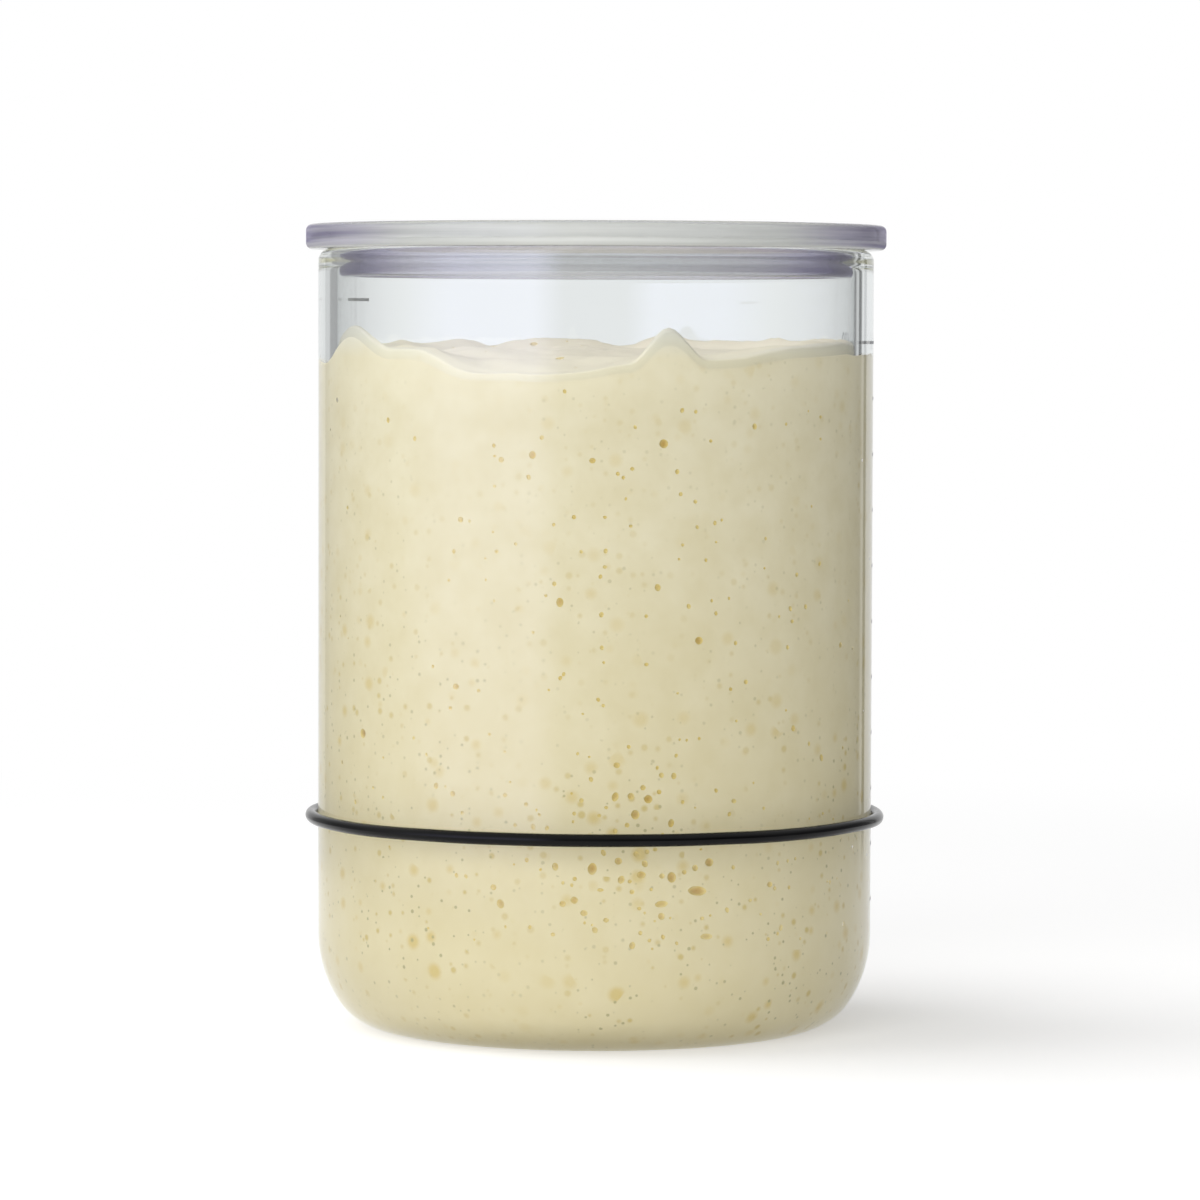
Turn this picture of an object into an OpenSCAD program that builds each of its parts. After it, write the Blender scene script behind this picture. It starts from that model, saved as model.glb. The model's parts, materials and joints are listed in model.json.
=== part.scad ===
// Straight-sided glass jar for a sourdough starter, with a clear lid that drops into its mouth,
// a rubber band that marks a level, two printed scales and the starter inside.
// Millimetres, +Z up. The origin is the centre of the face that the jar stands on.
// The front of the jar looks along -Y.

/* [Glass jar] */
// Outside diameter of the glass
jar_od = 90; // [70:1:120]
// Height of the glass, base to rim
jar_h = 126; // [90:1:200]
// Thickness of the glass wall
glass_wall = 3; // [2:0.25:4]
// Thickness of the glass floor
floor_t = 3.5; // [2:0.25:7]
// Radius of the long arc that turns the wall inwards
side_arc_r = 20; // [14:1:26]
// Radius of the short arc that ends on the base
foot_arc_r = 9; // [6:0.5:12]
// Angle below level where the long arc gives way to the short one
arc_meet_deg = 34; // [20:1:50]

/* [Lid] */
// How far the lid's rim stands out past the glass
rim_overhang = 2; // [0.5:0.25:5]
// Height of the lid's rim
rim_h = 4; // [3:0.25:7]
// Width of the raised edge round the top of the lid
raised_edge_w = 2; // [1.5:0.25:6]
// Depth of the shallow tray inside the raised edge
tray_d = 2.6; // [0.5:0.1:2.6]
// Rounding of the rim's outer edges
rim_round = 1; // [0.3:0.1:1.4]
// Gap between the lid's skirt and the glass
skirt_gap = 0.4; // [0.1:0.05:1]
// Depth that the skirt reaches into the mouth
skirt_d = 4.5; // [3:0.25:9]
// Thickness of the skirt
skirt_wall = 2.4; // [1.5:0.1:4]
// Rounding of the skirt's lower outer edge
skirt_round = 0.8; // [0.3:0.1:1.4]

/* [Marker band] */
// Thickness of the round rubber cord
band_d = 2; // [1:0.1:5]
// Height of the band's middle above the base
band_z = 34.2; // [30:0.1:60]
// Running gap between the band and the glass
band_gap = 0.08; // [0.05:0.01:0.1]

/* [Starter] */
// Drop from the glass rim to the starter's edge at the wall
headroom = 19; // [14:1:50]
// Rise of the starter's surface from its edge to its middle
crown_h = 4; // [1:0.2:6]
// Largest rise of a lump above that surface
lump_h = 2.6; // [0.2:0.1:3.6]
// Radius of the rounded lumps
lump_r = 13; // [9:1:20]
// Number of lumps in the ring near the wall
lump_count = 7; // [3:1:9]
// Air film between the starter and the glass
film = 0.05; // [0.02:0.01:0.2]

/* [Printed scales] */
// Height that the millilitre scale reads as empty
ml_zero_h = 2.9; // [0:0.1:10]
// Height that the ounce scale reads as empty
oz_zero_h = 0.5; // [0:0.1:10]
// First mark of the millilitre scale
first_ml = 100; // [50:50:200]
// Step between its marks
step_ml = 50; // [25:25:100]
// Last mark of the millilitre scale
last_ml = 600; // [300:50:1000]
// First mark of the ounce scale
first_oz = 4; // [2:2:8]
// Step between its marks
step_oz = 2; // [1:1:4]
// Last mark of the ounce scale
last_oz = 22; // [10:2:40]
// Length of a mark round the glass
mark_len = 7; // [3:0.5:12]
// Length of the top mark, which stands out further than the rest
top_mark_len = 11.8; // [5:0.2:20]
// Height of the printed line
mark_w = 0.5; // [0.3:0.05:1]
// Thickness of the fired enamel
enamel_t = 0.03; // [0.01:0.01:0.04]
// Turn from the front, towards +X, to the millilitre marks' far ends
ml_turn_deg = 92.6; // [60:0.2:130]
// Turn from the front, towards -X, to the ounce marks' near ends
oz_turn_deg = 100.6; // [60:0.2:130]

/* [Hidden] */
$fn = 120;

jar_r = jar_od / 2;
bore_r = jar_r - glass_wall;
rim_r = glass_wall / 2;
lid_r = jar_r + rim_overhang;
skirt_r = bore_r - skirt_gap;
front_deg = -90;
cut_past = 1;
ml_per_oz = 29.5735;
mm3_per_ml = 1000;

// Starter surface: a shallow dome over the bore
starter_r = bore_r - film;
edge_z = jar_h - headroom;
dome_r = (starter_r * starter_r + crown_h * crown_h) / (2 * crown_h);
dome_z = edge_z + crown_h - dome_r;
lump_ring_r = starter_r - lump_r / 2;

// Height of the dome at a distance from the jar's axis
function dome_at(r) = dome_z + sqrt(dome_r * dome_r - r * r);

// Height of a volume in millilitres in the bore
function fill_h(ml) = ml * mm3_per_ml / (PI * bore_r * bore_r);

// The part of a disc between two angles
module sector(centre, r, from_deg, to_deg) {
    mid_deg = (from_deg + to_deg) / 2;
    reach = 2 * r;
    intersection() {
        translate(centre) circle(r = r);
        translate(centre) polygon([
            [0, 0],
            reach * [cos(from_deg), sin(from_deg)],
            reach * [cos(mid_deg), sin(mid_deg)],
            reach * [cos(to_deg), sin(to_deg)]
        ]);
    }
}

// Half of the section through a round-heeled cup. The two arcs of the heel are tangent
// to each other, to the wall and to the base.
module cup_half(r, side_r, foot_r, bottom_z, top_z) {
    arm = side_r - foot_r;
    side_c = [r - side_r, bottom_z + foot_r + arm * sin(arc_meet_deg)];
    foot_c = side_c + arm * [cos(arc_meet_deg), -sin(arc_meet_deg)];
    polygon([
        [0, bottom_z],
        [foot_c[0], bottom_z],
        foot_c,
        side_c,
        [r, side_c[1]],
        [r, top_z],
        [0, top_z]
    ]);
    sector(side_c, side_r, -arc_meet_deg, 0);
    sector(foot_c, foot_r, -90, -arc_meet_deg);
}

// The space inside the glass, a gap in from it, up to a height
module bore_half(gap, top_z) {
    cup_half(bore_r - gap, side_arc_r - glass_wall - gap, foot_arc_r - glass_wall - gap, floor_t + gap, top_z);
}

module jar() {
    color([0.86, 0.92, 0.93, 0.4])
    rotate_extrude() {
        difference() {
            cup_half(jar_r, side_arc_r, foot_arc_r, 0, jar_h - rim_r);
            bore_half(0, jar_h + cut_past);
        }
        translate([jar_r - rim_r, jar_h - rim_r]) circle(r = rim_r);
    }
}

// One printed line on the outside of the glass, centred on its height
module mark(z, start_deg, sweep_deg) {
    rotate([0, 0, start_deg])
    rotate_extrude(angle = sweep_deg)
    translate([jar_r, z - mark_w / 2])
    square([enamel_t, mark_w]);
}

// Angle that a length covers on the outside of the glass
function arc_deg(len) = len / jar_r * 180 / PI;

// Length of the mark at a value, which is longer on the last one
function mark_length(value, last) = value == last ? top_mark_len : mark_len;

module millilitre_scale() {
    color("dimgray")
    for (ml = [first_ml : step_ml : last_ml]) {
        sweep = arc_deg(mark_length(ml, last_ml));
        z = ml_zero_h + fill_h(ml);
        if (z < jar_h - rim_r - mark_w)
            mark(z, front_deg + ml_turn_deg - sweep, sweep);
    }
}

module ounce_scale() {
    color("dimgray")
    for (oz = [first_oz : step_oz : last_oz]) {
        sweep = arc_deg(mark_length(oz, last_oz));
        z = oz_zero_h + fill_h(oz * ml_per_oz);
        if (z < jar_h - rim_r - mark_w)
            mark(z, front_deg - oz_turn_deg - sweep, sweep);
    }
}

module starter() {
    color("cornsilk")
    intersection() {
        rotate_extrude() bore_half(film, edge_z + crown_h + lump_h + cut_past);
        union() {
            translate([0, 0, dome_z]) sphere(r = dome_r);
            for (i = [0 : lump_count - 1]) {
                rise = i % 2 == 0 ? lump_h : lump_h / 2;
                rotate([0, 0, i * 360 / lump_count])
                translate([lump_ring_r, 0, dome_at(lump_ring_r) + rise - lump_r])
                sphere(r = lump_r);
            }
        }
    }
}

module marker_band() {
    color([0.06, 0.06, 0.06])
    rotate_extrude()
    translate([jar_r + band_gap + band_d / 2, band_z])
    circle(d = band_d);
}

module lid() {
    color([0.74, 0.72, 0.84, 0.5])
    rotate_extrude() {
        difference() {
            union() {
                translate([0, jar_h]) square([lid_r - rim_round, rim_h]);
                translate([0, jar_h + rim_round]) square([lid_r, rim_h - 2 * rim_round]);
                for (z = [jar_h + rim_round, jar_h + rim_h - rim_round])
                    translate([lid_r - rim_round, z]) circle(r = rim_round);
            }
            translate([-cut_past, jar_h + rim_h - tray_d])
            square([lid_r - raised_edge_w + cut_past, tray_d + cut_past]);
        }
        translate([skirt_r - skirt_wall, jar_h - skirt_d])
        square([skirt_wall - skirt_round, skirt_d]);
        translate([skirt_r - skirt_wall, jar_h - skirt_d + skirt_round])
        square([skirt_wall, skirt_d - skirt_round]);
        translate([skirt_r - skirt_round, jar_h - skirt_d + skirt_round])
        circle(r = skirt_round);
    }
}

jar();
millilitre_scale();
ounce_scale();
starter();
marker_band();
lid();
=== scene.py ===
import json
import math
import random

import bpy
from mathutils import Euler, Matrix, Vector

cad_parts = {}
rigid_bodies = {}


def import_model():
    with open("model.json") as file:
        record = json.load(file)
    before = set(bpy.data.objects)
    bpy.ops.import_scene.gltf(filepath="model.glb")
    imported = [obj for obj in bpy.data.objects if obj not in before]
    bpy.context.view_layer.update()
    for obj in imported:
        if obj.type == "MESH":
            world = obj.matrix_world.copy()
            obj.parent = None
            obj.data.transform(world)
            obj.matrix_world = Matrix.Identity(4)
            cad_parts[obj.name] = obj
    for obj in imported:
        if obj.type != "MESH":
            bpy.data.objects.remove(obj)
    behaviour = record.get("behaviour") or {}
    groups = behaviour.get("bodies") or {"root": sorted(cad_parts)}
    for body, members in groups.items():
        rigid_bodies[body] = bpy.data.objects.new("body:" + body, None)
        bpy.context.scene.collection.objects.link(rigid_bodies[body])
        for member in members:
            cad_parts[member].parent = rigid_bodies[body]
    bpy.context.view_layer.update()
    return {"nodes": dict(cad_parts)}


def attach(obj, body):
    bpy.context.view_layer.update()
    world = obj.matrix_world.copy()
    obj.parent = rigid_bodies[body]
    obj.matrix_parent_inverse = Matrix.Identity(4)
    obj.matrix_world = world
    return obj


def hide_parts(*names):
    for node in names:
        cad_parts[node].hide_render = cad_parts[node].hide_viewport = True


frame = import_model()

# Glass jar
# Clear borosilicate in one piece: a drawn tube with its base blown to a round heel
# and its rim melted to a full bead. It stands on the flat disc inside the heel.
mm = 0.001
jar_r, jar_h = 45.0, 126.0
wall, floor_t = 3.0, 3.5
bore_r = jar_r - wall
side_arc, foot_arc = 20.0, 9.0
arc_meet = 34.0  # degrees below level where the heel's long arc gives way to the short one
rim_out, rim_in = 1.8, 1.3  # roundings of the rim's outer and inner edge
bead, bead_arc, neck_arc = 0.32, 3.0, 5.0  # the rim's bulge into the mouth, and its two arcs
side_parts, foot_parts, base_parts = 14, 8, 6
rim_out_parts, rim_in_parts, bead_parts = 12, 8, 6
steps_round = 256
end_part = 0.15  # short part at each end of a face, which keeps the face flat when it is shaded
merge_gap = mm / 1000
pen = [0.0, 0.0]  # where the outline has got to


def start_outline(name, x, z):
    """A new mesh that is one point of a section, left in edit mode."""
    bpy.ops.object.select_all(action="DESELECT")
    bpy.ops.mesh.primitive_plane_add(size=mm)
    piece = bpy.context.object
    piece.name = piece.data.name = name
    bpy.ops.object.mode_set(mode="EDIT")
    bpy.ops.mesh.merge(type="CENTER")
    bpy.ops.transform.translate(value=(x * mm, 0, z * mm))
    pen[:] = x, z
    return piece


def line_to(x, z, parts=1):
    """Carries the outline on to a point, with a short part at both ends."""
    way = Vector((x - pen[0], 0, z - pen[1])) * mm
    short = way.normalized() * min(end_part * mm, way.length / 5)
    for move in [short] + [(way - 2 * short) / parts] * parts + [short]:
        bpy.ops.mesh.extrude_region_move(TRANSFORM_OT_translate={"value": move})
    pen[:] = x, z


def arc_about(x, z, degrees, parts):
    """Carries the outline round a centre, anticlockwise where degrees is above 0."""
    turn = math.radians(degrees)
    bpy.ops.mesh.spin(steps=parts, angle=abs(turn), center=(x * mm, 0, z * mm),
                      axis=(0, math.copysign(1, turn), 0))
    dx, dz = pen[0] - x, pen[1] - z
    pen[:] = (x + dx * math.cos(turn) - dz * math.sin(turn),
              z + dx * math.sin(turn) + dz * math.cos(turn))


def turn_outline(piece, smooth_below=180):
    """Turns the outline once round the jar's axis and closes its seam and poles."""
    bpy.ops.mesh.select_all(action="SELECT")
    bpy.ops.mesh.spin(steps=steps_round, angle=2 * math.pi, center=(0, 0, 0), axis=(0, 0, 1))
    bpy.ops.mesh.select_all(action="SELECT")
    bpy.ops.mesh.remove_doubles(threshold=merge_gap)
    bpy.ops.mesh.normals_make_consistent(inside=False)
    bpy.ops.mesh.select_all(action="DESELECT")
    bpy.ops.object.mode_set(mode="OBJECT")
    bpy.ops.object.shade_smooth_by_angle(angle=math.radians(smooth_below))


def heel(radius, bottom, thin, outwards):
    """The two arcs of the rounded heel, drawn from the base to the wall or back."""
    arm, meet = side_arc - foot_arc, math.radians(arc_meet)
    side_x, foot_x = jar_r - side_arc, jar_r - side_arc + arm * math.cos(meet)
    foot_z = bottom + foot_arc - thin
    side_z = foot_z + arm * math.sin(meet)
    if outwards:
        line_to(foot_x, bottom, base_parts)
        arc_about(foot_x, foot_z, 90 - arc_meet, foot_parts)
        arc_about(side_x, side_z, arc_meet, side_parts)
    else:
        line_to(radius, side_z)
        arc_about(side_x, side_z, -arc_meet, side_parts)
        arc_about(foot_x, foot_z, arc_meet - 90, foot_parts)


jar = start_outline("glass_jar", 0, 0)
heel(jar_r, 0, 0, True)
line_to(jar_r, jar_h - rim_out)
arc_about(jar_r - rim_out, jar_h - rim_out, 90, rim_out_parts)
bead_x, both_arcs = bore_r - bead, bead_arc + neck_arc
line_to(bead_x + rim_in, jar_h)
arc_about(bead_x + rim_in, jar_h - rim_in, 90, rim_in_parts)
lean = math.acos(1 - bead / both_arcs)
arc_about(bead_x + bead_arc, jar_h - rim_in, math.degrees(lean), bead_parts)
arc_about(bead_x + bead_arc - both_arcs * math.cos(lean),
          jar_h - rim_in - both_arcs * math.sin(lean), -math.degrees(lean), bead_parts)
heel(bore_r, floor_t, wall, False)
line_to(0, floor_t)
turn_outline(jar)


def linear(code):
    """The linear colour of an sRGB hex value."""
    shares = [int(code[i:i + 2], 16) / 255 for i in (1, 3, 5)]
    return [s / 12.92 if s <= 0.04045 else ((s + 0.055) / 1.055) ** 2.4 for s in shares] + [1.0]


def add(tree, kind, sockets=None, stops=None, **settings):
    """Adds a node. Each socket gets a value, or the node or socket that feeds it. A ramp's
    first two stops are its two ends."""
    node = tree.nodes.new(kind)
    for name, value in settings.items():
        setattr(node, name, value)
    for key, value in (sockets or {}).items():
        if isinstance(value, bpy.types.Node):
            value = value.outputs[0]
        if isinstance(value, bpy.types.NodeSocket):
            tree.links.new(value, node.inputs[key])
        else:
            node.inputs[key].default_value = value
    for i, (place, colour) in enumerate(stops or []):
        ramp = node.color_ramp.elements
        stop = ramp[i] if i < 2 else ramp.new(place)
        stop.position, stop.color = place, colour
    return node


def material(name):
    """A new material with an empty node tree."""
    made = bpy.data.materials.new(name)
    made.use_nodes = True
    made.node_tree.nodes.clear()
    return made


# Borosilicate glass, drawn and fire polished: all but colourless, with long faint ripples
# along the tube that the light finds in reflections.
glass = material("borosilicate_glass")
tree = glass.node_tree
place = add(tree, "ShaderNodeTexCoord").outputs["Object"]
drawn = add(tree, "ShaderNodeMapping", {"Vector": place, "Scale": (1, 1, 0.2)})
ripple = add(tree, "ShaderNodeTexNoise", {"Vector": drawn, "Scale": 60.0, "Detail": 1.0})
bump = add(tree, "ShaderNodeBump", {"Height": ripple, "Strength": 0.06, "Distance": 0.2 * mm})
clear = add(tree, "ShaderNodeBsdfGlass", {
    "Color": linear("#fdfefe"), "Roughness": 0.0, "IOR": 1.47, "Normal": bump})
ray = add(tree, "ShaderNodeLightPath")
let_through = add(tree, "ShaderNodeBsdfTransparent", {"Color": linear("#f7f7f7")})
seen = add(tree, "ShaderNodeMixShader", {0: ray.outputs["Is Shadow Ray"], 1: clear, 2: let_through})
lit = add(tree, "ShaderNodeMixShader", {0: ray.outputs["Is Diffuse Ray"], 1: seen, 2: let_through})
tint = add(tree, "ShaderNodeVolumeAbsorption", {"Color": linear("#e4eaea"), "Density": 5.0})
add(tree, "ShaderNodeOutputMaterial", {"Surface": lit, "Volume": tint})
jar.data.materials.append(glass)
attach(jar, "jar")
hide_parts("jar")

# Printed scales
# Grey ceramic ink screened on the outside of the glass and fired on: millilitre marks
# on the right, ounce marks on the left, each with plain numbers beside them.
ml_zero, oz_zero, h_per_ml = 2.9, 0.5, 1000 / (math.pi * bore_r ** 2)
ml_per_oz = 29.5735
ink_t = 0.03
number_h, capital_share = 3.1, 0.72  # height of a number, and of a capital in the font's own size
ml_numbers_turn, oz_numbers_turn = 94.5, -99.5  # degrees from the front towards +X

enamel = material("enamel_print")
tree = enamel.node_tree
place = add(tree, "ShaderNodeTexCoord").outputs["Object"]
grain = add(tree, "ShaderNodeTexNoise", {"Vector": place, "Scale": 2500.0, "Detail": 3.0})
ink = add(tree, "ShaderNodeValToRGB", {"Fac": grain},
          stops=[(0.3, linear("#a8aaae")), (0.7, linear("#babcbf"))])
bump = add(tree, "ShaderNodeBump", {"Height": grain, "Strength": 0.3, "Distance": 0.01 * mm})
ink_face = add(tree, "ShaderNodeBsdfPrincipled", {
    "Base Color": ink, "Roughness": 0.55, "Normal": bump})
add(tree, "ShaderNodeOutputMaterial", {"Surface": ink_face})
for name in ("millilitre_scale", "ounce_scale"):
    marks = frame["nodes"][name].data
    marks.materials.clear()
    marks.materials.append(enamel)


def number_on_glass(text, turn, height):
    """Prints a number round the glass, from a turn towards +X."""
    bpy.ops.object.select_all(action="DESELECT")
    bpy.ops.object.text_add()
    words = bpy.context.object
    words.data.body = text
    words.data.size = number_h * mm / capital_share
    words.data.extrude = ink_t * mm / 2
    words.data.align_y = "CENTER"
    bpy.ops.object.convert(target="MESH")
    bpy.ops.object.mode_set(mode="EDIT")
    bpy.ops.mesh.select_all(action="SELECT")
    bpy.ops.mesh.remove_doubles(threshold=merge_gap)
    bpy.ops.mesh.normals_make_consistent(inside=False)
    bpy.ops.object.mode_set(mode="OBJECT")
    for point in words.data.vertices:
        x, y, out = point.co
        angle = math.radians(turn - 90) + x / (jar_r * mm)
        radius = jar_r * mm + out + ink_t * mm / 2
        point.co = (radius * math.cos(angle), radius * math.sin(angle), height * mm + y)
    return words


numbers = [number_on_glass(str(ml), ml_numbers_turn, ml_zero + ml * h_per_ml)
           for ml in (100, 200, 300, 400, 500, 600)]
numbers += [number_on_glass(str(oz), oz_numbers_turn, oz_zero + oz * ml_per_oz * h_per_ml)
            for oz in (4, 8, 12, 16, 20)]
bpy.ops.object.select_all(action="DESELECT")
for number in numbers:
    number.select_set(True)
bpy.context.view_layer.objects.active = numbers[0]
bpy.ops.object.join()
numbers = bpy.context.object
numbers.name = numbers.data.name = "scale_numbers"
numbers.data.materials.clear()
numbers.data.materials.append(enamel)
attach(numbers, "jar")

# Starter
# A wet batter of flour and water, raised by its own gas. It clings to the glass with no air
# between, so its skin lies a hair inside the glass, and bubbles at the glass are open pockets.
cling = 0.05
skin_r = bore_r + cling
edge_h, middle_h = 107.6, 109.9
rings_start, fold_start = 12, 1.3  # below the edge: where the rings close up, and the fold begins
fold_in, fold_r = 0.2, 0.7
dome_in, dome_rise = 2.5, 0.9  # from the glass and over the edge, where the dome of the top starts
pull_step = 9
edge_pulls = [  # how far the edge rises at each step in degrees, from the left round by the front
    1.2, 1.0, 0.8, 1.1, 1.3, 1.5, 1.4, -1.6, -1.5, -1.4, -0.5, 0.2, 0.5, 0.3, 0.8, 1.7, 1.8, 2.1,
    2.3, 2.4, 2.1, 2.1, 2.2, 2.2, 2.3, 2.3, 1.9, 1.8, 2.4, 2.2, 1.8, 2.1, 2.3, 1.8, 1.8, 2.1, 1.9,
    1.8, 1.7, 1.5,
]
top_lumps = [  # turn from the front towards +X, radius, spread, rise
    (-20, 28, 11, -0.8), (8, 25, 11, -0.6), (38, 26, 10, 0.5), (-50, 24, 11, 0.5),
    (-78, 22, 10, 0.7), (90, 24, 10, 0.8), (180, 22, 12, 1.0), (150, 30, 9, 0.9),
    (215, 28, 10, 0.6), (0, 3, 12, 0.6),
]
smears = [(-63.4, 4.2, 11.0), (14.9, 4.7, 6.2)]  # turn, rise, spread
above_top = 115  # a pull takes the point of the skin that is nearest to its place at this height

starter = start_outline("starter_batter", 0, floor_t - cling)
heel(skin_r, floor_t - cling, wall - cling, True)
line_to(skin_r, edge_h - rings_start, 20)
line_to(skin_r, edge_h - fold_start, 8)
line_to(skin_r - fold_in, edge_h, 2)
arc_about(skin_r - fold_r, edge_h - 0.05, 75, 5)
line_to(skin_r - dome_in, edge_h + dome_rise, 2)
rise = middle_h - pen[1]
big_r = (pen[0] ** 2 + rise ** 2) / (2 * rise)
arc_about(0, middle_h - big_r, math.degrees(math.asin(pen[0] / big_r)), 32)
turn_outline(starter)


def at_turn(turn, radius, height):
    """The point at a turn from the front, a radius and a height, all in millimetres."""
    angle = math.radians(turn)
    return Vector((radius * math.sin(angle), -radius * math.cos(angle), height)) * mm


def pull(piece, turn, radius, rise, spread):
    """Pulls up the highest point near a place on the top, and less and less of what is round it."""
    aim = at_turn(turn, radius, above_top)
    near = min((p for p in piece.data.vertices if not p.hide), key=lambda p: (p.co - aim).length)
    near.select = True
    bpy.ops.object.mode_set(mode="EDIT")
    bpy.ops.transform.translate(value=(0, 0, rise * mm), use_proportional_edit=True,
                                proportional_edit_falloff="SMOOTH", proportional_size=spread * mm)
    bpy.ops.mesh.select_all(action="DESELECT")
    bpy.ops.object.mode_set(mode="OBJECT")


bpy.ops.object.mode_set(mode="EDIT")
bpy.ops.mesh.select_mode(type="VERT")
bpy.ops.object.mode_set(mode="OBJECT")
for i, rise in enumerate(edge_pulls):
    pull(starter, pull_step * i - 90, skin_r, rise, pull_step)
for turn, radius, spread, rise in top_lumps:
    pull(starter, turn, radius, rise, spread)

# The top is torn and foamy: two sizes of lumps are raised on it, fading out towards the glass.
foam_low, foam_rim, foam_fade = 103, 0.6, 3
top = starter.vertex_groups.new(name="top")
for point in starter.data.vertices:
    radius = point.co.xy.length / mm
    if point.co.z > foam_low * mm and radius < skin_r - foam_rim:
        top.add([point.index], min(1, (skin_r - radius) / foam_fade + 0.1), "REPLACE")
for size, strength in ((8.0, 1.5), (2.6, 0.5)):
    cloud = bpy.data.textures.new("foam_lumps", "CLOUDS")
    cloud.noise_scale = size * mm
    cloud.noise_depth = 2
    lumps = starter.modifiers.new("foam", "DISPLACE")
    lumps.texture, lumps.texture_coords = cloud, "LOCAL"
    lumps.strength, lumps.mid_level = strength * mm, 0.5
    lumps.direction, lumps.vertex_group = "Z", "top"
    bpy.ops.object.modifier_apply(modifier=lumps.name)

# Where the batter was stirred it left thin smears up the glass: only the outermost rings rise.
smear_rings = 1.3
for point in starter.data.vertices:
    point.hide = point.co.xy.length < (skin_r - smear_rings) * mm
for turn, rise, spread in smears:
    pull(starter, turn, skin_r, rise, spread)
bpy.ops.object.mode_set(mode="EDIT")
bpy.ops.mesh.reveal(select=False)
bpy.ops.object.mode_set(mode="OBJECT")

# Gas bubbles: the large ones sit low on the right of the front, the rest are strewn by chance,
# most of them round a turn to the right of the front, and closer together towards the base.
large_bubbles = [  # turn, height, width, height of the bubble
    (21.9, 25.9, 3.3, 1.6), (14.1, 24.0, 2.2, 1.1), (14.1, 22.1, 1.1, 1.2), (8.5, 38.0, 1.4, 1.6),
    (11.2, 40.4, 1.4, 1.4), (7.6, 40.9, 1.1, 1.1), (4.3, 40.8, 1.1, 1.6), (16.1, 36.6, 1.0, 1.4),
    (14.0, 44.1, 0.8, 0.9), (13.5, 41.5, 0.8, 0.8), (10.1, 42.2, 0.9, 0.9), (6.8, 36.4, 0.8, 0.8),
    (4.3, 35.5, 0.8, 0.8), (1.9, 32.1, 0.8, 1.1), (8.7, 31.9, 0.9, 0.9), (11.0, 32.2, 0.8, 0.8),
    (-0.4, 29.6, 1.5, 2.0), (5.0, 30.8, 1.2, 1.2), (9.8, 28.6, 1.5, 1.2), (5.6, 27.9, 1.1, 1.4),
    (24.0, 18.7, 2.2, 1.0), (14.2, 28.4, 0.9, 0.9), (19.0, 28.9, 0.8, 0.8), (21.4, 29.5, 1.0, 1.1),
    (24.6, 30.3, 1.5, 1.4), (1.3, 26.3, 1.1, 0.6), (-4.1, 24.7, 1.2, 1.2), (2.5, 21.6, 0.9, 0.8),
]
bubble_count, most_tries = 330, 20000
crowd_turn, crowd_spread, crowd_share = 12, 28, 0.55
heap_h, heap_span, lowest_h = 8, 96, 17
apart = 0.6  # least space between two bubbles, as a share of their widths together
chance = random.Random(23)
bubbles = [(at_turn(turn, skin_r, height), width, tall, turn)
           for turn, height, width, tall in large_bubbles]
tries = 0
while len(bubbles) < bubble_count and tries < most_tries:
    tries += 1
    crowded = chance.random() < crowd_share
    turn = chance.gauss(crowd_turn, crowd_spread) if crowded else chance.uniform(-180, 180)
    height = heap_h + heap_span * chance.random() ** 2
    size = 0.35 + 0.4 * chance.random() + 0.9 * chance.random() ** 9  # few are large
    spot = at_turn(turn, skin_r, height)
    if height > lowest_h and all(
            (spot - b[0]).length > (size + b[1]) * apart * mm for b in bubbles):
        bubbles.append((spot, size, size * chance.uniform(0.8, 1.35), turn))

bpy.ops.object.select_all(action="DESELECT")
bpy.ops.mesh.primitive_ico_sphere_add(subdivisions=2, radius=0.5)
pattern = bpy.context.object
cutters = []


def add_hollow(spot, turned, size):
    """One more hollow to cut out of the batter: where it is, how it is turned and its size."""
    cutter = pattern.copy()
    cutter.data = pattern.data.copy()
    bpy.context.collection.objects.link(cutter)
    cutter.data.transform(Matrix.LocRotScale(spot, Euler(turned), Vector(size) * mm))
    cutters.append(cutter)


# A bubble at the glass: tall ones lean more, and its middle lies a little outside the skin.
bubble_depth, middle_out = 0.55, 0.12
tall_lean, wide_lean = 0.5, 0.1
for spot, width, tall, turn in bubbles:
    deep = min(width, tall) * bubble_depth
    most = tall_lean if tall > width else wide_lean
    add_hollow(spot + at_turn(turn, middle_out * deep, 0),
               (0, chance.uniform(-most, most), math.radians(turn)), (width, deep, tall))

# Pits where gas broke out of the foam. Each sits at the mean height of the skin round it.
pit_count, pits_within, skin_above, skin_near = 40, 40, 100, 1.2
for _ in range(pit_count):
    turn, radius = chance.uniform(-180, 180), pits_within * math.sqrt(chance.random())
    size = 0.6 + 1.2 * chance.random() ** 4
    spot = at_turn(turn, radius, 0)
    skin = [p.co.z for p in starter.data.vertices
            if p.co.z > skin_above * mm and (p.co.xy - spot.xy).length < skin_near * mm]
    if not skin:
        continue
    spot.z = sum(skin) / len(skin)
    add_hollow(spot, (0, 0, chance.uniform(0, 3)), (size, size * 0.8, size * 0.7))
bpy.data.objects.remove(pattern)
for cutter in cutters:
    cutter.select_set(True)
bpy.context.view_layer.objects.active = cutters[0]
bpy.ops.object.join()
hollows = bpy.context.object
hollows.data.materials.clear()

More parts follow.
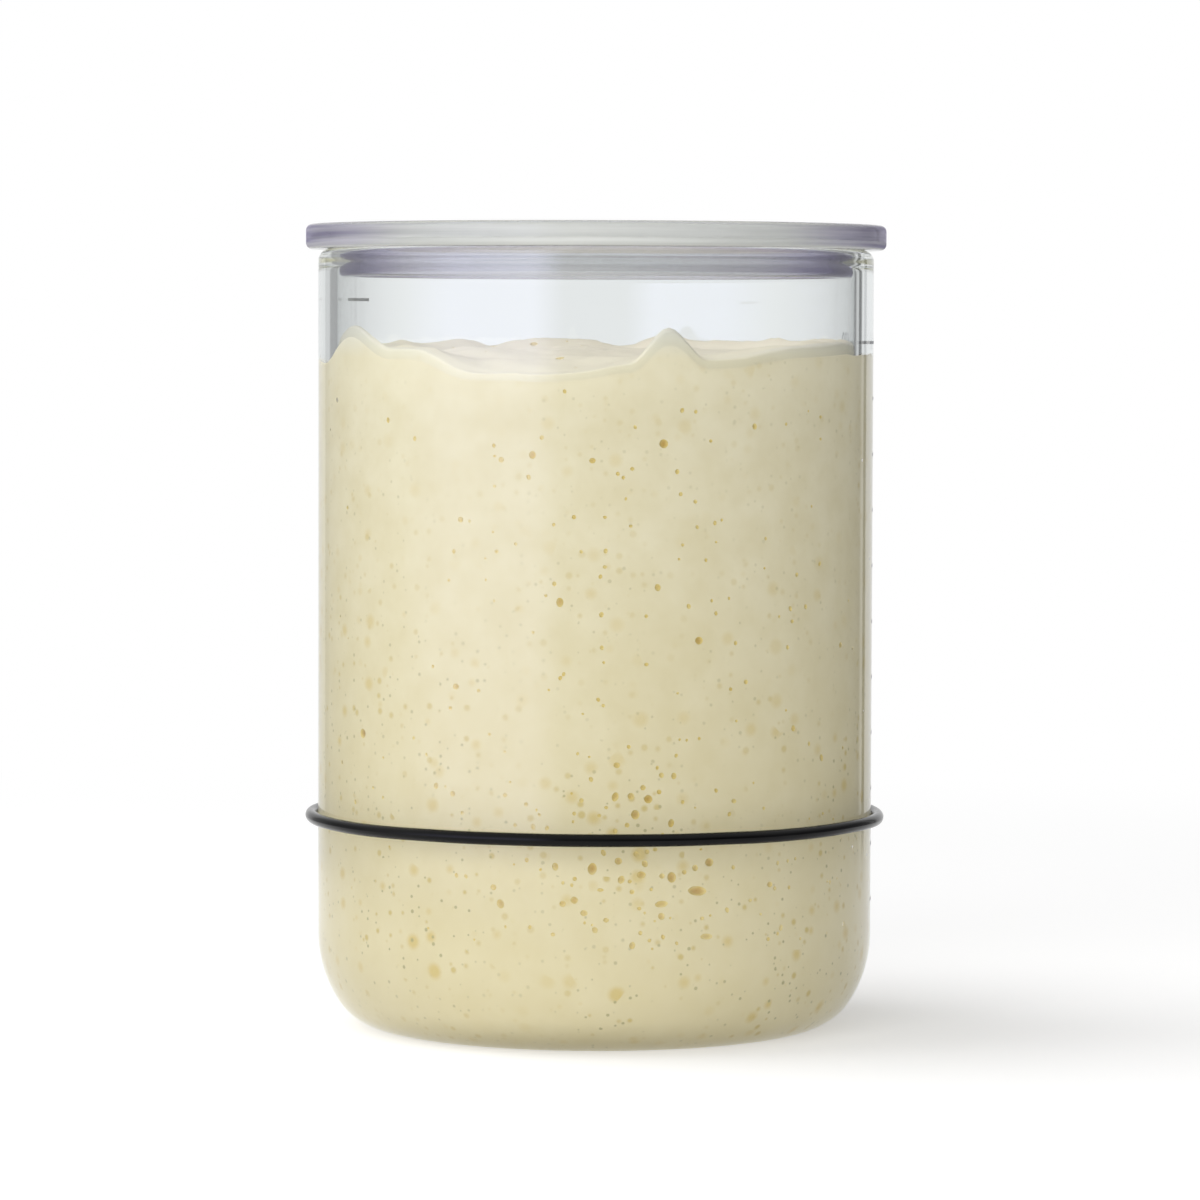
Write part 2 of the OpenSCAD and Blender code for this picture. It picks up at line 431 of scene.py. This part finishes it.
# Batter: soft matt cream, a little mottled by the gas in it and yellower low down. Bubbles too
# small to model, or a little under the skin, show as soft yellow spots and fine grey-green specks.
loose_h, settled_h = 95, 20
spot_layers = [  # cells a metre, share of cells with no spot, widest, blur, strength, colour
    (290.0, 0.0, 0.46, 0.25, 0.85, "#d6c079"),
    (520.0, 0.1, 0.4, 0.2, 0.85, "#cdb86f"),
    (900.0, 0.3, 0.33, 0.1, 0.8, "#aea678"),
]
batter = material("starter_dough")
tree = batter.node_tree
place = add(tree, "ShaderNodeTexCoord").outputs["Object"]
cloud = add(tree, "ShaderNodeTexNoise", {
    "Vector": place, "Scale": 160.0, "Detail": 3.0, "Roughness": 0.6})
tone = add(tree, "ShaderNodeValToRGB", {"Fac": cloud},
           stops=[(0.25, linear("#e1d7b3")), (0.75, linear("#eae2c4"))])
axes = add(tree, "ShaderNodeSeparateXYZ", {0: place})
flat = add(tree, "ShaderNodeCombineXYZ", {0: axes.outputs["X"], 1: axes.outputs["Y"]})
radius = add(tree, "ShaderNodeVectorMath", {0: flat}, operation="LENGTH").outputs["Value"]
lower = add(tree, "ShaderNodeMapRange", {
    "Value": axes.outputs["Z"], "From Min": loose_h * mm, "From Max": settled_h * mm,
    "To Min": 0.35, "To Max": 1.0})
patches = add(tree, "ShaderNodeTexNoise", {"Vector": place, "Scale": 45.0, "Detail": 1.0})
busy = add(tree, "ShaderNodeMapRange", {
    "Value": patches, "From Min": 0.35, "From Max": 0.6, "To Min": 0.3, "To Max": 1.0})
settled = add(tree, "ShaderNodeMapRange", {
    "Value": axes.outputs["Z"], "From Min": loose_h * mm, "From Max": settled_h * mm,
    "To Max": 0.45})
spotted = add(tree, "ShaderNodeMix", {0: settled, 6: tone, 7: linear("#dccd98")},
              data_type="RGBA").outputs[2]
for per_metre, empty, widest, blur, strength, hue in spot_layers:
    cells = add(tree, "ShaderNodeTexVoronoi", {"Vector": place, "Scale": per_metre})
    own = add(tree, "ShaderNodeSeparateColor", {"Color": cells.outputs["Color"]})
    reach = add(tree, "ShaderNodeMapRange", {
        "Value": own.outputs["Red"], "From Min": empty, "From Max": 1.0,
        "To Min": -0.1, "To Max": widest})
    inside = add(tree, "ShaderNodeMath", {0: reach, 1: cells.outputs["Distance"]},
                 operation="SUBTRACT")
    spot = add(tree, "ShaderNodeMapRange", {"Value": inside, "From Max": blur, "To Max": strength})
    faint = add(tree, "ShaderNodeMath", {0: spot, 1: busy}, operation="MULTIPLY")
    faint = add(tree, "ShaderNodeMath", {0: faint, 1: lower}, operation="MULTIPLY")
    spotted = add(tree, "ShaderNodeMix", {0: faint, 6: spotted, 7: linear(hue)},
                  data_type="RGBA").outputs[2]
# The foam of the top is paler where it stands off the glass, partly its own colour and partly
# painted light from above, and the smears are thin and whitish.
high = add(tree, "ShaderNodeMapRange", {
    "Value": axes.outputs["Z"], "From Min": (edge_h - 8) * mm, "From Max": (edge_h - 2) * mm})
off_glass = add(tree, "ShaderNodeMapRange", {
    "Value": radius, "From Min": (skin_r - 0.02) * mm, "From Max": (skin_r - 0.4) * mm,
    "To Min": 0.2})
open_top = add(tree, "ShaderNodeMath", {0: high, 1: off_glass}, operation="MULTIPLY")
# Painted light: the open top is lifted close to white, as if lit from above.
foam_and_painted_top_light = add(tree, "ShaderNodeMix", {0: open_top, 6: spotted, 7: linear("#fff8dc")},
             data_type="RGBA").outputs[2]
film = add(tree, "ShaderNodeMapRange", {
    "Value": axes.outputs["Z"], "From Min": (edge_h + 1) * mm, "From Max": (edge_h + 5) * mm,
    "To Max": 0.9})
on_glass = add(tree, "ShaderNodeMapRange", {
    "Value": radius, "From Min": (skin_r - 1.6) * mm, "From Max": (skin_r - 1) * mm})
film = add(tree, "ShaderNodeMath", {0: film, 1: on_glass}, operation="MULTIPLY")
skin = add(tree, "ShaderNodeMix", {0: film, 6: foam_and_painted_top_light, 7: linear("#ebe9da")},
           data_type="RGBA").outputs[2]
bump = add(tree, "ShaderNodeBump", {"Height": cloud, "Strength": 0.3, "Distance": 0.3 * mm})
dough = add(tree, "ShaderNodeBsdfPrincipled", {
    "Base Color": skin, "Roughness": 0.6, "Specular IOR Level": 0.25, "Normal": bump})
add(tree, "ShaderNodeOutputMaterial", {"Surface": dough})

# Bubble wall: the wet skin inside a bubble, glossier and more yellow than the batter, pale in the
# pits of the foam, and darker and browner by painted shade deep in the ones at the glass.
bubble_wall = material("bubble_skin")
tree = bubble_wall.node_tree
place = add(tree, "ShaderNodeTexCoord").outputs["Object"]
cloud = add(tree, "ShaderNodeTexNoise", {"Vector": place, "Scale": 900.0, "Detail": 2.0})
tone = add(tree, "ShaderNodeValToRGB", {"Fac": cloud},
           stops=[(0.3, linear("#dcc26c")), (0.7, linear("#e8d590"))])
axes = add(tree, "ShaderNodeSeparateXYZ", {0: place})
flat = add(tree, "ShaderNodeCombineXYZ", {0: axes.outputs["X"], 1: axes.outputs["Y"]})
inwards = add(tree, "ShaderNodeVectorMath", {0: flat}, operation="LENGTH").outputs["Value"]
# Painted shade: the skin goes darker and browner where the hollow lies deepest behind the glass.
painted_deep_shade = add(tree, "ShaderNodeMapRange", {
    "Value": inwards, "From Min": (skin_r - 0.12) * mm, "From Max": (skin_r - 0.36) * mm})
below_foam = add(tree, "ShaderNodeMapRange", {
    "Value": axes.outputs["Z"], "From Min": (edge_h - 1) * mm, "From Max": (edge_h - 3) * mm})
painted_deep_shade = add(tree, "ShaderNodeMath", {0: painted_deep_shade, 1: below_foam}, operation="MULTIPLY")
foam_pit = add(tree, "ShaderNodeMix", {0: below_foam, 6: linear("#f3e6b8"), 7: tone},
               data_type="RGBA").outputs[2]
# The painted shade of the deep hollows is mixed in here.
tone = add(tree, "ShaderNodeMix", {0: painted_deep_shade, 6: foam_pit, 7: linear("#b98d36")},
           data_type="RGBA").outputs[2]
dough = add(tree, "ShaderNodeBsdfPrincipled", {"Base Color": tone, "Roughness": 0.35})
add(tree, "ShaderNodeOutputMaterial", {"Surface": dough})

starter.data.materials.append(batter)
hollows.data.materials.append(bubble_wall)
cut = starter.modifiers.new("bubbles", "BOOLEAN")
cut.operation, cut.solver, cut.object = "DIFFERENCE", "MANIFOLD", hollows
cut.material_mode = "TRANSFER"
bpy.ops.object.select_all(action="DESELECT")
starter.select_set(True)
bpy.context.view_layer.objects.active = starter
bpy.ops.object.modifier_apply(modifier=cut.name)
bpy.data.objects.remove(hollows)

# Hollows that lie wholly under the skin are dropped: all that isn't joined to the lowest point.
bpy.ops.object.mode_set(mode="EDIT")
bpy.ops.mesh.select_all(action="DESELECT")
bpy.ops.object.mode_set(mode="OBJECT")
min(starter.data.vertices, key=lambda point: point.co.z).select = True
bpy.ops.object.mode_set(mode="EDIT")
bpy.ops.mesh.select_linked()
bpy.ops.mesh.select_all(action="INVERT")
bpy.ops.mesh.delete(type="VERT")
bpy.ops.object.mode_set(mode="OBJECT")
bpy.ops.object.shade_smooth_by_angle(angle=math.radians(35))
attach(starter, "jar")
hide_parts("starter")

# Marker band
# A ring of round rubber cord, moulded in one piece with a faint flash round its top and bottom,
# and stretched over the glass to mark a level. It waves a little on the glass.
cord_r, band_h, band_gap = 1.0, 34.2, 0.08
band_r = jar_r + band_gap + cord_r
flash = 0.03
cord_parts, on_middle = 28, 0.01
wave_length, wave_height = 38, 0.5

bpy.ops.object.select_all(action="DESELECT")
bpy.ops.mesh.primitive_circle_add(
    vertices=cord_parts, radius=(cord_r - flash) * mm,
    location=(band_r * mm, 0, band_h * mm), rotation=(math.pi / 2, 0, 0))
band = bpy.context.object
band.name = band.data.name = "marker_cord"
bpy.ops.object.transform_apply(location=True, rotation=True)
for point in band.data.vertices:
    off = point.co.x - band_r * mm
    point.select = abs(off) < on_middle * mm
bpy.ops.object.mode_set(mode="EDIT")
bpy.ops.transform.resize(value=(1, 1, cord_r / (cord_r - flash)),
                         center_override=(band_r * mm, 0, band_h * mm))
turn_outline(band, 40)
waves = bpy.data.textures.new("band_waves", "CLOUDS")
waves.noise_scale = wave_length * mm
wavy = band.modifiers.new("waves", "DISPLACE")
wavy.texture, wavy.texture_coords = waves, "LOCAL"
wavy.strength, wavy.mid_level, wavy.direction = wave_height * mm, 0.5, "Z"
bpy.ops.object.modifier_apply(modifier=wavy.name)

# Rubber: black silicone off the mould, satin, with a faint bloom of dust.
rubber = material("black_rubber")
tree = rubber.node_tree
place = add(tree, "ShaderNodeTexCoord").outputs["Object"]
bloom = add(tree, "ShaderNodeTexNoise", {"Vector": place, "Scale": 220.0, "Detail": 4.0})
tone = add(tree, "ShaderNodeValToRGB", {"Fac": bloom},
           stops=[(0.35, linear("#030303")), (0.8, linear("#09090a"))])
sheen = add(tree, "ShaderNodeMapRange", {"Value": bloom, "To Min": 0.1, "To Max": 0.22})
skin = add(tree, "ShaderNodeTexNoise", {"Vector": place, "Scale": 4000.0, "Detail": 1.0})
bump = add(tree, "ShaderNodeBump", {"Height": skin, "Strength": 0.25, "Distance": 0.02 * mm})
cord = add(tree, "ShaderNodeBsdfPrincipled", {
    "Base Color": tone, "Roughness": sheen, "IOR": 1.26, "Normal": bump})
add(tree, "ShaderNodeOutputMaterial", {"Surface": cord})
band.data.materials.append(rubber)
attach(band, "band")
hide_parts("marker_band")

# Lid
# One clear moulding of copolyester with a faint violet tint: a flat plate with a raised edge
# and a skirt below that drops into the mouth. It lies loose on the glass.
lid_r, lid_h = jar_r + 2, 4.0
edge_w, tray_d, edge_round = 2.0, 2.6, 1.0
skirt_gap, skirt_d, skirt_w, skirt_round = 0.4, 4.5, 2.4, 0.8
fillet = 0.4
lid_top, lid_bottom, skirt_low = jar_h + lid_h, jar_h, jar_h - skirt_d
skirt_r = bore_r - skirt_gap
skirt_in = skirt_r - skirt_w
edge_parts, fillet_parts = 8, 6

lid = start_outline("drop_in_lid", 0, lid_bottom)
line_to(skirt_in - fillet, lid_bottom)
arc_about(skirt_in - fillet, lid_bottom - fillet, -90, fillet_parts)
line_to(skirt_in, skirt_low + fillet)
arc_about(skirt_in + fillet, skirt_low + fillet, 90, fillet_parts)
line_to(skirt_r - skirt_round, skirt_low)
arc_about(skirt_r - skirt_round, skirt_low + skirt_round, 90, edge_parts)
line_to(skirt_r, lid_bottom - fillet / 2)
arc_about(skirt_r + fillet / 2, lid_bottom - fillet / 2, -90, 4)
line_to(lid_r - edge_round, lid_bottom)
arc_about(lid_r - edge_round, lid_bottom + edge_round, 90, edge_parts)
line_to(lid_r, lid_top - edge_round)
arc_about(lid_r - edge_round, lid_top - edge_round, 90, edge_parts)
line_to(lid_r - edge_w + fillet, lid_top)
arc_about(lid_r - edge_w + fillet, lid_top - fillet, 90, fillet_parts)
line_to(lid_r - edge_w, lid_top - tray_d + fillet)
arc_about(lid_r - edge_w - fillet, lid_top - tray_d + fillet, -90, fillet_parts)
line_to(0, lid_top - tray_d)
turn_outline(lid)

# Copolyester: injection moulded and polished, clear through its thickness, milky and violet
# along it, with very faint flow marks round the gate. The skirt is the more violet.
plastic = material("clear_plastic")
tree = plastic.node_tree
place = add(tree, "ShaderNodeTexCoord").outputs["Object"]
flow = add(tree, "ShaderNodeTexNoise", {"Vector": place, "Scale": 90.0, "Detail": 2.0})
bump = add(tree, "ShaderNodeBump", {"Height": flow, "Strength": 0.08, "Distance": 0.1 * mm})
haze = add(tree, "ShaderNodeMapRange", {"Value": flow, "To Min": 0.03, "To Max": 0.1})
facing = add(tree, "ShaderNodeLayerWeight", {"Blend": 0.5}).outputs["Facing"]
side = add(tree, "ShaderNodeSeparateXYZ", {0: add(tree, "ShaderNodeNewGeometry").outputs["Normal"]})
level = add(tree, "ShaderNodeMath", {0: side.outputs["Z"], 1: side.outputs["Z"]},
            operation="MULTIPLY")
upright = add(tree, "ShaderNodeMath", {0: 1.0, 1: level}, operation="SUBTRACT", use_clamp=True)
along = add(tree, "ShaderNodeMath", {0: facing, 1: upright}, operation="MULTIPLY")
plate = add(tree, "ShaderNodeValToRGB", {"Fac": along}, stops=[
    (0.0, linear("#fafbfa")), (0.75, linear("#cbc6dd")),
    (0.22, linear("#f5f6f6")), (0.42, linear("#dcd9e8"))])
skirt = add(tree, "ShaderNodeValToRGB", {"Fac": along}, stops=[
    (0.0, linear("#f1f1f3")), (0.8, linear("#bcb6d4")),
    (0.2, linear("#e9e7ee")), (0.5, linear("#cac5dc"))])
height = add(tree, "ShaderNodeSeparateXYZ", {0: place}).outputs["Z"]
lower = add(tree, "ShaderNodeMapRange", {
    "Value": height, "From Min": (lid_bottom + 0.1) * mm, "From Max": (lid_bottom - 0.3) * mm})
tinge = add(tree, "ShaderNodeMix", {0: lower, 6: plate, 7: skirt}, data_type="RGBA").outputs[2]
clear = add(tree, "ShaderNodeBsdfGlass", {
    "Color": tinge, "Roughness": haze, "IOR": 1.56, "Normal": bump})
ray = add(tree, "ShaderNodeLightPath")
let_through = add(tree, "ShaderNodeBsdfTransparent", {"Color": linear("#f2f1f6")})
seen = add(tree, "ShaderNodeMixShader", {0: ray.outputs["Is Shadow Ray"], 1: clear, 2: let_through})
lit = add(tree, "ShaderNodeMixShader", {0: ray.outputs["Is Diffuse Ray"], 1: seen, 2: let_through})

# The milk shows on the upright faces, most of all on the lower half of the rim, where the plate's
# whole width lies behind it. Its colour is the violet tint with painted shade, greyer and darker
# where the rim is seen along its width, and it has level streaks of painted highlight.
# Painted shade: the milk goes greyer and darker violet where the rim is seen along its width.
violet_milk_and_painted_shade = add(tree, "ShaderNodeValToRGB", {"Fac": along}, stops=[
    (0.0, linear("#d2d4d0")), (0.6, linear("#87849c")),
    (0.25, linear("#bec0bd")), (0.45, linear("#a3a1b1"))])
# Painted highlights: long level streaks, lighter than the milk.
level_lines = add(tree, "ShaderNodeMapping", {"Vector": place, "Scale": (0.02, 0.02, 1)})
painted_highlight_streaks = add(tree, "ShaderNodeTexNoise", {"Vector": level_lines, "Scale": 1400.0, "Detail": 2.0})
painted_highlight_streaks = add(tree, "ShaderNodeMapRange", {
    "Value": painted_highlight_streaks, "From Min": 0.35, "From Max": 0.7, "To Max": 0.4})
violet_milk_and_painted_shade = add(tree, "ShaderNodeMix", {0: painted_highlight_streaks, 6: violet_milk_and_painted_shade, 7: linear("#f4f4f0")},
           data_type="RGBA").outputs[2]
milk_and_painted_light = add(tree, "ShaderNodeBsdfDiffuse", {"Color": violet_milk_and_painted_shade})
share = add(tree, "ShaderNodeMapRange", {
    "Value": height, "From Min": skirt_low * mm, "From Max": lid_top * mm})
share = add(tree, "ShaderNodeValToRGB", {"Fac": share}, stops=[
    (0.5, (0.25, 0.25, 0.25, 1)), (0.71, (0.45, 0.45, 0.45, 1)),
    (0.54, (0.88, 0.88, 0.88, 1)), (0.67, (0.85, 0.85, 0.85, 1))])
steep = add(tree, "ShaderNodeMapRange", {"Value": upright, "From Min": 0.05, "From Max": 0.4})
share = add(tree, "ShaderNodeMath", {0: share, 1: steep}, operation="MULTIPLY")
cloudy = add(tree, "ShaderNodeMixShader", {0: share, 1: lit, 2: milk_and_painted_light})
add(tree, "ShaderNodeOutputMaterial", {"Surface": cloudy})
lid.data.materials.append(plastic)
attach(lid, "lid")
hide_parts("lid")

# Floor
# A pale sweep. Near the jar it is a softly lit table that keeps the shadow. Farther off it is
# plain white to the camera, and the studio's walls show through it in glass and gloss.
sweep_w = 12  # metres, as the next two are
table_end, white_start = 0.18, 0.5
glow_on_jar, glow_in_view = 0.17, 0.37  # the table's own light: what the jar gets and what is seen

bpy.ops.object.select_all(action="DESELECT")
bpy.ops.mesh.primitive_plane_add(size=sweep_w)
sweep = bpy.context.object
sweep.name = sweep.data.name = "sweep"
paper = material("white_paper")
tree = paper.node_tree
place = add(tree, "ShaderNodeTexCoord").outputs["Object"]
away = add(tree, "ShaderNodeVectorMath", {0: place}, operation="LENGTH").outputs["Value"]
far = add(tree, "ShaderNodeMapRange", {
    "Value": away, "From Min": table_end, "From Max": white_start}, interpolation_type="SMOOTHSTEP")
ray = add(tree, "ShaderNodeLightPath")
view = add(tree, "ShaderNodeMath",
           {0: ray.outputs["Is Camera Ray"], 1: ray.outputs["Is Glossy Ray"]}, operation="MAXIMUM")
view = add(tree, "ShaderNodeMath", {0: view, 1: ray.outputs["Is Transmission Ray"]},
           operation="MAXIMUM")
matt = add(tree, "ShaderNodeBsdfDiffuse", {"Color": linear("#e2e2e2")})
lift = add(tree, "ShaderNodeMapRange", {
    "Value": view, "To Min": glow_on_jar, "To Max": glow_in_view})
lifted = add(tree, "ShaderNodeEmission", {"Color": (1, 1, 1, 1), "Strength": lift})
near_paper = add(tree, "ShaderNodeAddShader", {0: matt, 1: lifted})
glow = add(tree, "ShaderNodeEmission", {"Color": (1, 1, 1, 1), "Strength": 1.0})
wall_behind = add(tree, "ShaderNodeBsdfTransparent", {"Color": (1, 1, 1, 1)})
beyond = add(tree, "ShaderNodeMixShader", {
    0: ray.outputs["Is Camera Ray"], 1: wall_behind, 2: glow})
pick = add(tree, "ShaderNodeMath", {0: far, 1: view}, operation="MULTIPLY")
whole = add(tree, "ShaderNodeMixShader", {0: pick, 1: near_paper, 2: beyond})
add(tree, "ShaderNodeOutputMaterial", {"Surface": whole})
sweep.data.materials.append(paper)

# Light
# One wide soft box high on the left of the front, a weak fill, a lamp above, and a plain studio
# round them. Glass and gloss see the studio's walls: white behind and beside the jar, a long
# bluish soft box from the front to the left, and dimmer stretches between.
def lamp(name, size, watts, place, aim):
    """A rectangular soft box that lights the object but isn't seen, also not in glass."""
    box = bpy.data.lights.new(name, "AREA")
    box.shape, box.size, box.size_y, box.energy = "RECTANGLE", size[0], size[1], watts
    stand = bpy.data.objects.new(name, box)
    stand.location = place
    stand.rotation_euler = (Vector(aim) - stand.location).to_track_quat("-Z", "Y").to_euler()
    stand.visible_camera = stand.visible_glossy = stand.visible_transmission = False
    bpy.context.collection.objects.link(stand)


lamp("soft_box", (0.8, 0.9), 6.1, (-0.42, -1.08, 0.62), (0, 0, 0.06))
lamp("fill_box", (0.9, 0.28), 2.5, (0.1, -1.2, 0.16), (0, 0, 0.06))
lamp("top_box", (0.7, 0.7), 6.6, (-0.45, 0.05, 1.0), (0, 0, 0.1))

walls = [  # turn from the front towards +X, brightness
    (-180, 0.92), (-170, 0.9), (-166, 0.8), (-152, 0.7), (-150.5, 0.35), (-145.5, 0.33),
    (-144, 0.4), (-125, 0.3), (-108, 0.5), (-88, 1.0), (-62, 1.8), (-26, 1.9), (-13, 0.4),
    (20, 0.15), (60, 0.12), (82, 0.3), (120, 0.2), (142, 0.2), (144, 0.65), (146.5, 0.65),
    (147.2, 0.1), (150.5, 0.1), (152, 0.8), (166, 0.85), (170, 0.9), (180, 0.92),
]
brightest = 2.5  # a ramp holds nothing over 1, so it holds the walls' brightness over this
soft_box_blue = 1.3  # blue of what is brighter than white, as a share of its red and green
air_level, ceiling_level = 0.33, 0.36
wall_top, ceiling_start = 0.25, 0.7  # sines of the elevations where one gives way to the other


def wall_stop(turn, brightness):
    """A stop of the ramp that goes once round the studio."""
    level = brightness / brightest
    blue = level * (soft_box_blue if brightness > 1 else 1)
    return (turn + 180) / 360, (level, level, blue, 1)


stops = [wall_stop(*stretch) for stretch in walls]
studio = bpy.data.worlds.new("studio")
bpy.context.scene.world = studio
studio.use_nodes = True
tree = studio.node_tree
tree.nodes.clear()
way = add(tree, "ShaderNodeTexCoord").outputs["Generated"]
axes = add(tree, "ShaderNodeSeparateXYZ", {0: way})
toward = add(tree, "ShaderNodeMath", {0: axes.outputs["Y"], 1: -1.0}, operation="MULTIPLY")
turn = add(tree, "ShaderNodeMath", {0: axes.outputs["X"], 1: toward}, operation="ARCTAN2")
share = add(tree, "ShaderNodeMapRange", {"Value": turn, "From Min": -math.pi, "From Max": math.pi})
wall_ramp = add(tree, "ShaderNodeValToRGB", {"Fac": share},
                stops=[stops[0], stops[-1]] + stops[1:-1])
ray = add(tree, "ShaderNodeLightPath")
gloss = add(tree, "ShaderNodeMath",
            {0: ray.outputs["Is Glossy Ray"], 1: ray.outputs["Is Transmission Ray"]},
            operation="MAXIMUM")
air = add(tree, "ShaderNodeBackground", {"Color": (1, 1, 1, 1), "Strength": air_level})
rise = add(tree, "ShaderNodeMapRange", {
    "Value": axes.outputs["Z"], "From Min": wall_top, "From Max": ceiling_start})
ceiling = add(tree, "ShaderNodeMix",
              {0: rise, 6: wall_ramp, 7: (ceiling_level, ceiling_level, ceiling_level, 1)},
              data_type="RGBA").outputs[2]
walls_seen = add(tree, "ShaderNodeBackground", {"Color": ceiling, "Strength": brightest})
white = add(tree, "ShaderNodeBackground", {"Color": (1, 1, 1, 1), "Strength": 1.0})
mirrored = add(tree, "ShaderNodeMixShader", {0: gloss, 1: air, 2: walls_seen})
all_round = add(tree, "ShaderNodeMixShader", {
    0: ray.outputs["Is Camera Ray"], 1: mirrored, 2: white})
add(tree, "ShaderNodeOutputWorld", {"Surface": all_round})

# Camera
# A long lens level with the top of the starter, tipped down a little and rolled by a hair.
tip_down, roll = 0.0513, 0.0031
lens = bpy.data.cameras.new("camera")
lens.sensor_width, lens.lens = 36.0, 162.47
lens.clip_end = 50
camera = bpy.data.objects.new("camera", lens)
camera.location = Vector((0.648, -880.0, 114.35)) * mm
camera.rotation_euler = (math.pi / 2 - tip_down, -roll, 0)
bpy.context.collection.objects.link(camera)
bpy.context.scene.camera = camera
bpy.context.scene.view_settings.view_transform = "Standard"

# Light runs along thick clear walls and edges for many turns before it comes out.
cycles = bpy.context.scene.cycles
cycles.max_bounces = cycles.transmission_bounces = 40
cycles.glossy_bounces = 12
